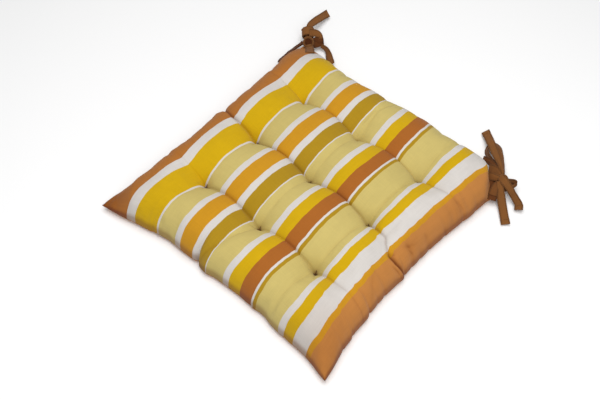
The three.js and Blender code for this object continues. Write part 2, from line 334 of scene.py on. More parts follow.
def faded(wave, table, across, along):
    """A row's wave of swells, evened out towards the seams at the ends of the row."""
    fade = sum(
        share * np.where(along < 0, table[row][0], table[row][1])
        for row, share in row_shares(across).items()
    )
    outer = np.clip((seaward(along) - FADE_FROM) / (FADE_TO - FADE_FROM), 0.0, 1.0)
    return mix(wave, 1.0, fade * outer * outer * (3 - 2 * outer))


def fall(a):
    return np.maximum(1 - seaward(a) ** FALL_ROUNDNESS, 0.0) ** FALL_STEEPNESS


def seam_lift(a, b):
    return mix(SEAM, CORNER_SEAM, (seaward(a) * seaward(b)) ** 2)


def from_lines(a, b, row):
    """Millimetres from a place to a row's crease and to its groove."""
    return np.abs(b - row) * 2 * TUFT_PITCH["y"], np.abs(a - row) * 2 * TUFT_PITCH["x"]


def from_tuft(a, b, tuft):
    return np.hypot((a - tuft[0]) * 2 * TUFT_PITCH["x"], (b - tuft[1]) * 2 * TUFT_PITCH["y"])


def folds(a, b):
    """Depth of the tight folds along the rows and of the dimples at the tufts."""
    depth = np.zeros_like(a)
    for row in TUFT_ROWS:
        from_crease, from_groove = from_lines(a, b, row)
        depth = depth + along_row(CREASE_FOLD, row, a) * np.exp(-from_crease / FOLD_WIDTH["crease"])
        depth = depth + along_row(GROOVE_FOLD, row, b) * np.exp(-from_groove / FOLD_WIDTH["groove"])
    for tuft in TUFTS:
        depth = depth + TUFT_DIMPLE * np.exp(-((from_tuft(a, b, tuft) / TUFT_DIMPLE_REACH) ** 1.5))
    return depth


def small_folds(a, b, narrowed=1.0):
    """Depth of the short folds of slack cloth, fading at the ends of each."""
    depth = np.zeros_like(a)
    for from_a, from_b, to_a, to_b, deep, width in SMALL_FOLDS:
        run_a, run_b = to_a - from_a, to_b - from_b
        share = ((a - from_a) * run_a + (b - from_b) * run_b) / (run_a**2 + run_b**2)
        kept = np.clip(share, 0.0, 1.0)
        away = np.hypot(
            (a - from_a - kept * run_a) * 2 * TUFT_PITCH["x"],
            (b - from_b - kept * run_b) * 2 * TUFT_PITCH["y"],
        )
        tapered = deep * np.sin(math.pi * (0.15 + 0.7 * kept))
        depth = depth + tapered * np.exp(-((away / (width * narrowed)) ** 1.4))
    return depth


def lumps(a, b):
    return sum(
        height * bell(np.hypot(a - at_a, b - at_b), reach)
        for at_a, at_b, reach, height in FILLING_LUMPS
    )


def corner_shares(a, b):
    """Share of the full height that the two flattened corners keep."""
    to_ear = a + b - EAR_FOLD_AT
    beyond = np.clip(to_ear / 0.06 + 0.5, 0.0, 1.0)
    ear = mix(1.0, EAR_SHARE, beyond) * (1 - EAR_FOLD_DEPTH * bell(to_ear, EAR_FOLD_WIDTH))
    to_flat = np.clip((-a - b - FLAT_EAR_FROM) / 0.15, 0.0, 1.0)
    return ear * mix(1.0, FLAT_EAR_SHARE, to_flat)


def pucker_wave(place, phase):
    """Uneven gathers along a seam: narrow valleys between wider swells."""
    run = place * PUCKERS_PER_SIDE * math.pi / 2
    broad = np.sin(run + 1.3 * np.sin(run * 0.31 + phase) + phase)
    uneven = broad + 0.6 * np.sin(run * 1.73 + 2 * phase)
    return np.maximum(uneven - 0.35, 0.0) ** 1.5


def puckers(a, b):
    depth = np.zeros_like(a)
    for edge_gap, place, phase in ((1 + b, a, 0.4), (1 - a, b, 1.9), (1 - b, a, 3.1), (1 + a, b, 4.7)):
        gathered = pucker_wave(place, phase) * np.exp(-edge_gap / PUCKER_REACH)
        depth = depth + gathered * np.minimum(edge_gap / PUCKER_START, 1.0)
    return PUCKER_DEPTH * depth


def painted_shade_share(a, b):
    """How much painted shade darkens the cloth: in tight folds, at tufts, along the seam and in patches."""
    painted_shade = small_folds(a, b, narrowed=0.6) * PAINTED_SHADE_PER_FOLD_MM
    for at_a, at_b, reach, share in PAINTED_SHADE_PATCHES:
        painted_shade = painted_shade + share * bell(np.hypot(a - at_a, b - at_b), reach)
    for row in TUFT_ROWS:
        from_crease, from_groove = from_lines(a, b, row)
        in_crease = along_row(CREASE_FOLD, row, a) * np.exp(-from_crease / PAINTED_SHADE_WIDTH["fold"])
        in_groove = along_row(GROOVE_FOLD, row, b) * np.exp(-from_groove / PAINTED_SHADE_WIDTH["fold"])
        painted_shade = painted_shade + (in_crease + in_groove * PAINTED_SHADE_IN_GROOVES) * PAINTED_SHADE_PER_FOLD_MM
    for tuft in TUFTS:
        painted_shade = painted_shade + bell(from_tuft(a, b, tuft), PAINTED_SHADE_WIDTH["tuft"])
    from_seam = (1 - np.maximum(np.abs(a), np.abs(b))) * 2 * TUFT_PITCH["x"]
    painted_shade = painted_shade + PAINTED_SHADE_ON_SEAM * bell(from_seam, PAINTED_SHADE_WIDTH["seam"])
    return np.clip(painted_shade, 0.0, 1.0)


def top_height(a, b):
    across = faded(swell(a, SWELL_ACROSS, GROOVE_SOFTNESS), GROOVE_FADE, a, b)
    softness = sum(share * along_row(CREASE_SOFTNESS, row, a) for row, share in row_shares(b).items())
    along = faded(swell(b, SWELL_ALONG, softness), CREASE_FADE, b, a)
    crease_rise = CREASE - TUFT
    groove_rise = GROOVE - TUFT
    crown_rise = CROWN - TUFT - crease_rise - groove_rise
    rise = TUFT - SEAM + crease_rise * across + groove_rise * along + crown_rise * across * along
    rise = rise * (1 + UNEVENNESS * np.sin(2.3 * a + 1.1) * np.cos(2.9 * b - 0.4)) + lumps(a, b)
    full = fall(a) * fall(b) * corner_shares(a, b)
    cut = folds(a, b) + small_folds(a, b) + puckers(a, b)
    return seam_lift(a, b) + full * rise - np.minimum(cut, full * rise * 0.85)


def near_row(a):
    distance = np.min([np.abs(a - row) for row in TUFT_ROWS], axis=0) * 2 * TUFT_PITCH["x"]
    return bell(distance, UNDERSIDE_CREASE_WIDTH)


def underside_height(a, b):
    edge = 1 - fall(a) * fall(b)
    crease = UNDERSIDE_CREASE * np.maximum(near_row(a), near_row(b))
    dimple = (UNDERSIDE_DIMPLE - UNDERSIDE_CREASE) * near_row(a) * near_row(b)
    rolled = mix(crease + dimple, seam_lift(a, b) + UNDERSIDE_FLAT_CUT, edge**1.6)
    return np.maximum(rolled - UNDERSIDE_FLAT_CUT, 0.0)


# Meshes


def grid_quads(index):
    """Faces between neighbours of a grid of vertex numbers."""
    around = (index[:-1, :-1], index[:-1, 1:], index[1:, 1:], index[1:, :-1])
    return np.stack(around, axis=-1).reshape(-1, 4)


def add_object(name, mesh):
    thing = bpy.data.objects.new(name, mesh)
    bpy.context.scene.collection.objects.link(thing)
    return thing


def smooth_mesh(name, places, faces):
    """A smooth-shaded mesh from places in millimetres from the middle tuft."""
    mesh = bpy.data.meshes.new(name)
    mesh.from_pydata(((places + np.array(MIDDLE_TUFT)) * MM).tolist(), [], faces)
    mesh.polygons.foreach_set("use_smooth", np.ones(len(faces), dtype=bool))
    return mesh


def give_cloth(mesh, corners, painted_shade):
    """The cloth place of each face corner, in metres, and the painted shade of each point."""
    mesh.uv_layers.new(name="cloth").data.foreach_set("uv", corners.ravel())
    mesh.attributes.new("painted_shade", "FLOAT", "POINT").data.foreach_set("value", painted_shade)


# Cushion mesh

CELLS = 4
STEPS_PER_CELL = 52
ROW_CROWDING = 0.55
HALF_CLOTH_M = 0.2


def grid_lines():
    """Places of the mesh lines along a side, crowded towards the tuft rows and the seam."""
    lines = []
    for cell in range(CELLS):
        low = -1 + 2 * cell / CELLS
        for step in range(STEPS_PER_CELL):
            share = step / STEPS_PER_CELL
            crowded = share - ROW_CROWDING * math.sin(2 * math.pi * share) / (2 * math.pi)
            lines.append(low + crowded * 2 / CELLS)
    lines.append(1.0)
    return np.array(lines)


# Cloth simulation: the top's cloth, sewn at the seam and the tufts and a little too large for its
# shape, settles under the filling's pressure. The shape above stays as it is, and the small
# wrinkles of the settled cloth are added to it, up to a cap.

CLOTH_LINE_STEP = 2
CLOTH_FRAMES = 20
CLOTH_SETTINGS = {
    "quality": 6,
    "mass": 0.2,
    "tension_stiffness": 15,
    "compression_stiffness": 15,
    "shear_stiffness": 5,
    "bending_stiffness": 0.3,
    "shrink_min": -0.03,
    "use_pressure": True,
    "uniform_pressure_force": 4.0,
}
TUFT_HOLD = 0.012
WRINKLE_SPREAD, WRINKLE_SHARE, WRINKLE_CAP = 7, 0.6, 0.9


def running_mean(field, spread):
    """The mean over neighbours along both directions of the grid, taken three times."""
    for axis in (0, 1) * 3:
        edges = [(0, 0)] * field.ndim
        edges[axis] = (spread // 2, spread // 2)
        padded = np.pad(field, edges, mode="edge")
        field = np.lib.stride_tricks.sliding_window_view(padded, spread, axis=axis).mean(axis=-1)
    return field


def settled_shift(places, held):
    """How far each point of a sheet moves, in metres, when it settles as cloth."""
    rows, columns = held.shape
    index = np.arange(rows * columns).reshape(rows, columns)
    mesh = bpy.data.meshes.new("settling_cloth")
    mesh.from_pydata(places.reshape(-1, 3).tolist(), [], grid_quads(index).tolist())
    sheet = add_object("settling_cloth", mesh)
    sheet.vertex_groups.new(name="sewn").add(index[held].tolist(), 1.0, "REPLACE")
    cloth = sheet.modifiers.new("cloth", "CLOTH")
    for name, value in CLOTH_SETTINGS.items():
        setattr(cloth.settings, name, value)
    cloth.settings.vertex_group_mass = "sewn"
    cloth.settings.effector_weights.gravity = 0.0
    cloth.point_cache.frame_start = 1
    cloth.point_cache.frame_end = CLOTH_FRAMES
    for moment in range(1, CLOTH_FRAMES + 1):
        bpy.context.scene.frame_set(moment)
    settled = np.empty(places.size)
    result = sheet.evaluated_get(bpy.context.evaluated_depsgraph_get())
    result.data.vertices.foreach_get("co", settled)
    bpy.data.objects.remove(sheet)
    bpy.data.meshes.remove(mesh)
    bpy.context.scene.frame_set(1)
    return settled.reshape(places.shape) - places


def wrinkles(a, b, places, on_seam):
    """Small movements of the settled cloth, in millimetres, for every point of the top."""
    step = slice(None, None, CLOTH_LINE_STEP)
    near = [np.min([np.abs(c - row) for row in TUFT_ROWS], axis=0) < TUFT_HOLD for c in (a, b)]
    held = on_seam | (near[0] & near[1])
    shift = settled_shift(places[step, step] * MM, held[step, step]) / MM
    small = (shift - running_mean(shift, WRINKLE_SPREAD)) * WRINKLE_SHARE
    length = np.linalg.norm(small, axis=-1, keepdims=True)
    small = small * np.minimum(1.0, WRINKLE_CAP / np.maximum(length, WRINKLE_CAP / 10))
    fine = np.arange(len(a))
    for axis in (0, 1):
        small = np.apply_along_axis(lambda row: np.interp(fine, fine[step], row), axis, small)
    small = running_mean(small, 3)
    small[on_seam] = 0.0
    return small


def cushion_object():
    lines = grid_lines()
    count = len(lines)
    a, b = np.meshgrid(lines, lines)
    s, t = cloth_of(a, b)
    x, y = plan_place(s, t)
    on_seam = (np.abs(a) == 1) | (np.abs(b) == 1)
    top = np.stack([x, y, np.where(on_seam, seam_lift(a, b), top_height(a, b))], axis=-1)
    top = top + wrinkles(a, b, top, on_seam)
    low = underside_height(a, b)
    top_index = np.arange(count * count).reshape(count, count)
    inner = ~on_seam
    low_index = top_index.copy()
    low_index[inner] = count * count + np.arange(inner.sum())
    below = np.stack([x[inner], y[inner], low[inner]], axis=1)
    places = np.concatenate([top.reshape(-1, 3), below])
    printed = s - print_drift(a, b)
    printed = np.where(a + b > EAR_FOLD_AT, np.maximum(printed, EAR_PRINT), printed)
    cloth = np.concatenate(
        [np.stack([printed.ravel(), t.ravel()], axis=1), np.stack([s[inner], t[inner]], axis=1)]
    )
    top_faces = grid_quads(top_index)
    faces = np.concatenate([top_faces, grid_quads(low_index)[:, ::-1]])
    mesh = smooth_mesh("cushion", places, faces.tolist())
    painted_shade = np.zeros(len(places))
    painted_shade[: count * count] = painted_shade_share(a, b).ravel()
    give_cloth(mesh, cloth[faces.ravel()] * HALF_CLOTH_M, painted_shade)
    material_index = np.zeros(len(faces), dtype=np.int32)
    material_index[len(top_faces) :] = 1
    mesh.polygons.foreach_set("material_index", material_index)
    return add_object("cushion", mesh)


# Materials

PALETTE = {
    "tan": (0.724, 0.478, 0.232),
    # The next colour is tan painted darker, as painted shade on the left end band, which faces away from
    # the side lamp
    "shaded_tan": (0.658, 0.413, 0.165),
    "rust": (0.625, 0.366, 0.13),
    "white": (0.800, 0.778, 0.756),
    "yellow": (0.772, 0.62, 0.014),
    "khaki": (0.76, 0.687, 0.413),
    "orange": (0.757, 0.54, 0.1),
    "olive": (0.645, 0.507, 0.09),
    "tape": (0.47, 0.3, 0.142),
    "thread": (0.33, 0.22, 0.12),
}

# Bands of the print from left to right: colour and where the band ends
STRIPES = [
    ("shaded_tan", -0.806), ("white", -0.722), ("yellow", -0.522), ("white", -0.507), ("khaki", -0.364),
    ("white", -0.320), ("orange", -0.204), ("white", -0.161), ("olive", -0.069), ("white", -0.061),
    ("khaki", 0.093), ("white", 0.134), ("yellow", 0.225), ("rust", 0.320), ("white", 0.332),
    ("olive", 0.358), ("khaki", 0.566), ("white", 0.616), ("yellow", 0.700), ("white", 0.830),
    ("orange", 0.871), ("tan", 1.0),
]


def linear(colour):
    """A screen colour as the linear colour that shaders take."""
    return [c / 12.92 if c <= 0.04045 else ((c + 0.055) / 1.055) ** 2.4 for c in colour]


class Nodes:
    """Short calls to add nodes to one tree and link them."""

    def __init__(self, tree):
        self.tree = tree

    def add(self, kind, **values):
        node = self.tree.nodes.new(kind)
        for name, value in values.items():
            setattr(node, name, value)
        return node

    def link(self, source, target):
        self.tree.links.new(source, target)

    def feed(self, socket, value):
        if isinstance(value, bpy.types.NodeSocket):
            self.link(value, socket)
        else:
            socket.default_value = value

    def math(self, operation, first, second=0.0):
        node = self.add("ShaderNodeMath", operation=operation)
        self.feed(node.inputs[0], first)
        self.feed(node.inputs[1], second)
        return node.outputs[0]

    def noise(self, place, scale, detail=2.0):
        node = self.add("ShaderNodeTexNoise")
        self.feed(node.inputs["Vector"], place)
        node.inputs["Scale"].default_value = scale
        node.inputs["Detail"].default_value = detail
        return node.outputs["Fac"]

    def remap(self, value, low, high, to_low, to_high):
        node = self.add("ShaderNodeMapRange")
        self.feed(node.inputs["Value"], value)
        limits = {"From Min": low, "From Max": high, "To Min": to_low, "To Max": to_high}
        for name, number in limits.items():
            self.feed(node.inputs[name], number)
        return node.outputs[0]

    def scale_colour(self, colour, factor):
        node = self.add("ShaderNodeVectorMath", operation="SCALE")
        self.feed(node.inputs[0], colour)
        self.feed(node.inputs["Scale"], factor)
        return node.outputs[0]

    def tint(self, colour, by, share):
        node = self.add("ShaderNodeMix", data_type="RGBA", blend_type="MULTIPLY")
        self.feed(node.inputs["Factor"], share)
        colours = [socket for socket in node.inputs if socket.type == "RGBA"]
        self.feed(colours[0], colour)
        self.feed(colours[1], by)
        return next(socket for socket in node.outputs if socket.type == "RGBA")


def new_group(name, inputs, outputs):
    """A shader node group. inputs and outputs give each socket's name, kind and first value."""
    tree = bpy.data.node_groups.new(name, "ShaderNodeTree")
    for sockets, direction in ((inputs, "INPUT"), (outputs, "OUTPUT")):
        for socket_name, kind, value in sockets:
            socket = tree.interface.new_socket(name=socket_name, in_out=direction, socket_type=kind)
            if value is not None:
                socket.default_value = value
    nodes = Nodes(tree)
    return tree, nodes, nodes.add("NodeGroupInput").outputs, nodes.add("NodeGroupOutput").inputs


def plain_weave_group():
    """Plain-woven cotton: over and under threads, uneven in thickness and shade."""
    tree, nodes, given, result = new_group(
        "plain_weave",
        [("Cloth Place", "NodeSocketVector", None), ("Thread", "NodeSocketFloat", 0.0006)],
        [("Height", "NodeSocketFloat", None), ("Shade", "NodeSocketFloat", None)],
    )
    parts = nodes.add("ShaderNodeSeparateXYZ")
    nodes.link(given["Cloth Place"], parts.inputs[0])
    waves = []
    for part in (parts.outputs[0], parts.outputs[1]):
        turns = nodes.math("DIVIDE", part, given["Thread"])
        wobble = nodes.noise(given["Cloth Place"], 400.0, 1.0)
        turned = nodes.math("ADD", turns, nodes.remap(wobble, 0.0, 1.0, -0.3, 0.3))
        waves.append(nodes.math("SINE", nodes.math("MULTIPLY", turned, math.pi)))
    crossing = nodes.math("MULTIPLY", waves[0], waves[1])
    over = nodes.math("ABSOLUTE", crossing)
    thick_threads = []
    for stretch in ((1.0, 0.02, 1.0), (0.02, 1.0, 1.0)):
        mapping = nodes.add("ShaderNodeMapping")
        nodes.link(given["Cloth Place"], mapping.inputs["Vector"])
        mapping.inputs["Scale"].default_value = stretch
        thick_threads.append(nodes.noise(mapping.outputs[0], 1600.0, 1.0))
    slub = nodes.math("ADD", *thick_threads)
    nodes.link(nodes.math("ADD", over, nodes.math("MULTIPLY", slub, 0.4)), result["Height"])
    nodes.link(nodes.remap(slub, 0.6, 1.4, 0.94, 1.06), result["Shade"])
    return tree


def soft_mottle_group():
    """Slow changes of shade over the cloth, from handling and uneven dye."""
    tree, nodes, given, result = new_group(
        "soft_mottle",
        [("Place", "NodeSocketVector", None), ("Strength", "NodeSocketFloat", 0.05)],
        [("Shade", "NodeSocketFloat", None)],
    )
    broad = nodes.noise(given["Place"], 14.0, 3.0)
    fine = nodes.noise(given["Place"], 90.0, 4.0)
    both = nodes.math("ADD", nodes.math("MULTIPLY", broad, 0.6), nodes.math("MULTIPLY", fine, 0.4))
    centred = nodes.math("SUBTRACT", both, 0.5)
    change = nodes.math("MULTIPLY", centred, given["Strength"])
    nodes.link(nodes.math("ADD", change, 1.0), result["Shade"])
    return tree


WEAVE = plain_weave_group()
MOTTLE = soft_mottle_group()
# Dark brown that the painted shade mixes into the cloth's colour
PAINTED_SHADE_TINT = (0.42, 0.27, 0.18, 1.0)


def cloth_material(name, colour_of, thread, mottle, weave_depth, roughness=0.92, sheen=0.06):
    """Woven cloth. colour_of takes the nodes and the cloth place, and gives its colour before the painted
    shade.
    """
    material = bpy.data.materials.new(name)
    material.use_nodes = True
    tree = material.node_tree
    nodes = Nodes(tree)
    shader = tree.nodes["Principled BSDF"]
    cloth_place = nodes.add("ShaderNodeUVMap", uv_map="cloth").outputs[0]
    place = nodes.add("ShaderNodeTexCoord").outputs["Object"]

    weave = nodes.add("ShaderNodeGroup", node_tree=WEAVE)
    nodes.link(cloth_place, weave.inputs["Cloth Place"])
    weave.inputs["Thread"].default_value = thread
    shades = nodes.add("ShaderNodeGroup", node_tree=MOTTLE)
    nodes.link(place, shades.inputs["Place"])
    shades.inputs["Strength"].default_value = mottle

    shade = nodes.math("MULTIPLY", weave.outputs["Shade"], shades.outputs["Shade"])
    unshaded_colour = nodes.scale_colour(colour_of(nodes, cloth_place), shade)
    # Painted shade: the point attribute darkens the colour towards dark brown in folds, at tufts, along
    # seams and on shaded straps
    painted_shade = nodes.add("ShaderNodeAttribute", attribute_name="painted_shade").outputs["Fac"]
    nodes.link(nodes.tint(unshaded_colour, PAINTED_SHADE_TINT, painted_shade), shader.inputs["Base Color"])
    shader.inputs["Roughness"].default_value = roughness
    shader.inputs["Specular IOR Level"].default_value = 0.2
    shader.inputs["Sheen Weight"].default_value = sheen
    shader.inputs["Sheen Roughness"].default_value = 0.5
    bump = nodes.add("ShaderNodeBump")
    bump.inputs["Strength"].default_value = 0.5
    bump.inputs["Distance"].default_value = weave_depth
    nodes.link(weave.outputs["Height"], bump.inputs["Height"])
    nodes.link(bump.outputs[0], shader.inputs["Normal"])
    return material


STRIPE_WAVER = 0.004


def striped(nodes, cloth_place):
    """The print's bands along the cloth, with edges that waver a little."""
    across = nodes.add("ShaderNodeSeparateXYZ")
    nodes.link(cloth_place, across.inputs[0])
    waver = nodes.remap(nodes.noise(cloth_place, 40.0, 2.0), 0.0, 1.0, -STRIPE_WAVER, STRIPE_WAVER)
    share = nodes.remap(across.outputs[0], -HALF_CLOTH_M, HALF_CLOTH_M, 0.0, 1.0)
    ramp = nodes.add("ShaderNodeValToRGB")
    nodes.link(nodes.math("ADD", share, waver), ramp.inputs["Fac"])
    bands = ramp.color_ramp
    bands.interpolation = "CONSTANT"
    start = 0.0
    for number, (colour, end) in enumerate(STRIPES):
        stop = bands.elements[0] if number == 0 else bands.elements.new(start)
        stop.color = (*linear(PALETTE[colour]), 1.0)
        start = (end + 1) / 2
    bands.elements.remove(bands.elements[-1])
    return ramp.outputs["Color"]


def plain(colour):
    def colour_of(nodes, cloth_place):
        return linear(PALETTE[colour])

    return colour_of


# Painted shade across the tape: where it starts and where it is darkest, in metres off the middle, and how
# dark
TAPE_EDGE_FROM_M, TAPE_EDGE_AT_M, TAPE_EDGE_SHADE = 0.0036, 0.0058, 0.68


def edge_shaded_tape(nodes, cloth_place):
    """Folded tape with painted shade: a little lighter along its middle, darker towards its edges."""
    parts = nodes.add("ShaderNodeSeparateXYZ")
    nodes.link(cloth_place, parts.inputs[0])
    off_middle = nodes.math("ABSOLUTE", parts.outputs[1])
    shade = nodes.remap(off_middle, TAPE_EDGE_FROM_M, TAPE_EDGE_AT_M, 1.05, TAPE_EDGE_SHADE)
    return nodes.scale_colour(linear(PALETTE["tape"]), shade)


COVER_TOP = cloth_material("striped_cotton", striped, 0.0006, mottle=0.24, weave_depth=0.00012)
COVER_UNDER = cloth_material("tan_cotton", plain("tan"), 0.0006, mottle=0.16, weave_depth=0.00012)
THREAD = cloth_material("sewing_thread", plain("thread"), 0.0004, mottle=0.2, weave_depth=0.0001)
TAPE = cloth_material("tape_cotton", edge_shaded_tape, 0.0005, mottle=0.45, weave_depth=0.00012)

cushion = cushion_object()
cushion.data.materials.append(COVER_TOP)
cushion.data.materials.append(COVER_UNDER)
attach(cushion, "root")
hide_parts("pad")

# Sewing thread

THREAD_SIDES = 6


class ThreadMesh:
    """Collects short runs of sewing thread into one mesh."""

    def __init__(self, radius):
        self.radius = radius
        self.places = []
        self.faces = []

    def run(self, middle):
        """One round thread along the places, closed at both ends."""
        tangent = unit(np.gradient(middle, axis=0))
        side = unit(np.cross(tangent, (0.21, 0.33, 1.0)))
        front = np.cross(side, tangent)
        start = len(self.places)
        for k, place in enumerate(middle):
            reach = self.radius * (0.6 if k in (0, len(middle) - 1) else 1.0)
            for step in range(THREAD_SIDES):
                angle = 2 * math.pi * step / THREAD_SIDES
                outward = side[k] * math.cos(angle) + front[k] * math.sin(angle)
                self.places.append(place + outward * reach)
        for k in range(len(middle) - 1):
            for step in range(THREAD_SIDES):
                a = start + k * THREAD_SIDES + step
                b = start + k * THREAD_SIDES + (step + 1) % THREAD_SIDES
                self.faces.append((a, a + THREAD_SIDES, b + THREAD_SIDES, b))
        last = start + (len(middle) - 1) * THREAD_SIDES
        self.faces.append(tuple(start + step for step in range(THREAD_SIDES)))
        self.faces.append(tuple(last + step for step in reversed(range(THREAD_SIDES))))

    def build(self, name):
        mesh = smooth_mesh(name, np.array(self.places), self.faces)
        mesh.materials.append(THREAD)
        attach(add_object(name, mesh), "root")


# Tufts: each is tacked through with a small cross of thread

TUFT_THREAD_RADIUS, TUFT_CROSS_REACH, TUFT_THREAD_LIFT = 0.45, 2.8, 0.3
TUFT_CROSS_TURNS_DEG = (28.0, 112.0)

tuft_threads = ThreadMesh(TUFT_THREAD_RADIUS)
for tuft_a, tuft_b in TUFTS:
    for turn in TUFT_CROSS_TURNS_DEG:
        angle = math.radians(turn + 17.0 * tuft_a + 31.0 * tuft_b)
        reach = np.linspace(-TUFT_CROSS_REACH, TUFT_CROSS_REACH, 9)
        a = tuft_a + reach * math.cos(angle) / (2 * TUFT_PITCH["x"])
        b = tuft_b + reach * math.sin(angle) / (2 * TUFT_PITCH["y"])
        x, y = plan_place(*cloth_of(a, b))
        tuft_threads.run(np.stack([x, y, top_height(a, b) + TUFT_THREAD_LIFT], axis=1))
        tuft_threads.run(np.stack([x, y, underside_height(a, b) - TUFT_THREAD_LIFT], axis=1))
tuft_threads.build("tuft_threads")

# Ties. Each row of a strap gives a place on the tape's middle line, its tilt about that line in
# degrees, where 0 lies flat and 90 stands on edge, and its share of the full width. hemmed turns
# the strap's end in and stitches it; a strap in shadow also gets painted shade, darker the higher its
# number.

TAPE_WIDTH = 11.5
TAPE_THICKNESS = 1.8
TAPE_STEP = 1.1
HEM_LENGTH = 8.0
HEM_THICKNESS = 2.8
HEM_WIDTH = 12.2
GATHERED_THICKNESS = 0.9
GATHERED_BOW = 4.0
PLEATS, PLEAT_DEPTH = 2.6, 1.5
TAPE_BOW = 0.6
# The knot's bunch: its painted shade, rows and points round it, and folds round it
BUNCH_PAINTED_SHADE, BUNCH_ROWS, BUNCH_AROUND, BUNCH_FOLDS = 0.35, 16, 40, 5
STITCH_AT, STITCH_LIFT, STITCH_LENGTH, STITCH_GAP = 0.72, 0.78, 2.3, 0.9
STITCH_RADIUS = 0.28
TAPE_RIPPLE = 0.35

# Half of the tape's section: share of the way to the edge, and share of the full thickness
TAPE_SECTION = [
    (0.0, 1.0), (0.3, 1.0), (0.55, 0.94), (0.68, 0.72), (0.76, 0.7), (0.86, 0.98), (0.95, 0.85),
    (1.0, 0.4),
]

RIGHT_STRAPS = {
    "end_up": {"hemmed": True, "rows": [
        (176.4, 188.6, 21, -18, 0.42), (172.2, 192.3, 22, -19, 0.42), (164.9, 198.9, 22, -21, 0.58),
        (155.3, 206.6, 21, -23, 0.78), (144.9, 215.4, 18.5, -24, 0.95), (132.1, 226.9, 14.5, -25, 1),
        (119.8, 237.8, 10, -26, 1), (109.7, 246.4, 6, -27, 1),
    ]},
    "end_down": {"hemmed": True, "rows": [
        (180.5, 174.2, 24, 16, 0.6), (185.4, 169.6, 21, 16, 0.8), (191.0, 164.8, 16, 17, 0.95),
        (197.6, 159.4, 10.8, 17, 1), (207.2, 150.7, 6.2, 12, 1), (221.4, 136.7, 3.9, 12, 1),
    ]},
    "loop_back": {"painted_shade": 0.25, "rows": [
        (174.3, 192.6, 18, 43, 0.5), (166.8, 203.6, 15.5, 36, 0.6), (157.3, 216.0, 12, 28, 0.7),
        (148.2, 226.2, 9.5, 25, 0.8), (139.7, 233.6, 8, 24, 0.9), (133.7, 233.8, 7.5, 22, 1),
        (130.5, 228.0, 7.2, 42, 1), (131.7, 220.1, 7, 69, 1), (137.7, 213.0, 7.2, 90, 1),
        (146.2, 208.4, 8.5, 97, 1), (156.7, 202.7, 11.5, 92, 0.9), (169.8, 194.3, 16, 76, 0.6),
    ]},
    "root_high": {"painted_shade": 0.2, "rows": [
        (154.5, 189.0, 14, 50, 1.15), (160.1, 188.7, 18, 45, 1.2), (166.9, 188.0, 20.5, 37, 1),
        (175.7, 185.4, 21, 33, 0.6),
    ]},
    "root_low": {"painted_shade": 0.12, "rows": [
        (161.3, 178.3, 15, 48, 0.9), (167.3, 177.5, 19, 46, 1), (173.0, 177.9, 21.5, 40, 0.85),
        (178.4, 179.7, 22, 39, 0.5),
    ]},
    "root_cover": {"painted_shade": 0.78, "rows": [
        (170.0, 174.6, 15, 10, 0.9), (175.7, 166.6, 15, 11, 1.05), (181.6, 159.6, 14.5, 10, 1.1),
        (185.3, 153.9, 12.4, 4, 1.15), (186.6, 150.7, 10.8, 0, 1.1),
    ]},
    "root_back": {"painted_shade": 0.7, "rows": [
        (138.6, 199.4, 13, 60, 0.7), (146.1, 199.0, 15, 59, 0.8), (154.8, 196.8, 17, 45, 0.8),
        (165.4, 192.9, 19, 34, 0.6),
    ]},
    "root_leg": {"painted_shade": 0.36, "rows": [
        (184.7, 155.9, 14.5, -1, 1.1), (182.9, 160.1, 17, 1, 1.05), (180.6, 166.7, 19.5, 7, 0.85),
        (179.7, 174.7, 21.5, 11, 0.6),
    ]},
}
RIGHT_WRAP_STRAPS = {
    "end_side": {"hemmed": True, "rows": [
        (178.0, 179.8, 26, 33, 0.95), (186.1, 176.4, 27.5, 31, 1), (194.3, 175.8, 23, 35, 0.9),
        (202.4, 175.3, 16, 45, 0.85), (210.3, 174.2, 10.5, 45, 0.9), (217.2, 171.4, 7.5, 32, 0.95),
        (221.4, 165.4, 6, 15, 0.95),
    ]},
    "loop_side": {"painted_shade": 0.15, "rows": [
        (183.9, 184.9, 19, 83, 0.6), (188.0, 188.5, 16.5, 78, 0.75), (191.6, 192.8, 14, 81, 0.8),
        (194.7, 195.5, 12, 94, 0.8), (196.2, 192.1, 11, 53, 0.8), (194.4, 186.4, 12.5, 28, 0.75),
        (190.4, 181.7, 15, 19, 0.6),
    ]},
    "tail": {"painted_shade": 0.6, "rows": [
        (184.9, 178.6, 19, 20, 0.6), (188.8, 175.9, 15, 19, 0.55), (192.2, 173.2, 12, 18, 0.5),
    ]},
}
LEFT_STRAPS = {
    "end_up": {"hemmed": True, "rows": [
        (-197.3, 212.5, 21.5, 8, 0.62), (-200.9, 218.1, 22, 14, 0.72), (-204.0, 225.3, 21.5, 28, 0.85),
        (-205.3, 233.5, 20, 36, 0.95), (-206.7, 243.3, 17.5, 39, 1), (-208.3, 254.3, 14, 40, 1),
        (-209.5, 264.9, 11, 40, 1), (-210.1, 274.3, 8.5, 41, 1),
    ]},
    "end_left": {"hemmed": True, "painted_shade": 0.92, "rows": [
        (-191.8, 195.5, 15, 14, 0.6), (-194.1, 190.1, 11.5, 28, 0.8), (-196.3, 181.5, 8.8, 36, 1),
        (-197.5, 170.0, 7.4, 38, 1), (-197.4, 158.7, 6.8, 41, 1), (-195.5, 148.9, 6.6, 42, 1),
    ]},
    "nub": {"rows": [
        (-201.0, 209.7, 22, -45, 0.5), (-203.5, 208.2, 23, -44, 0.4), (-205.8, 207.4, 24, -42, 0.25),
    ]},
}
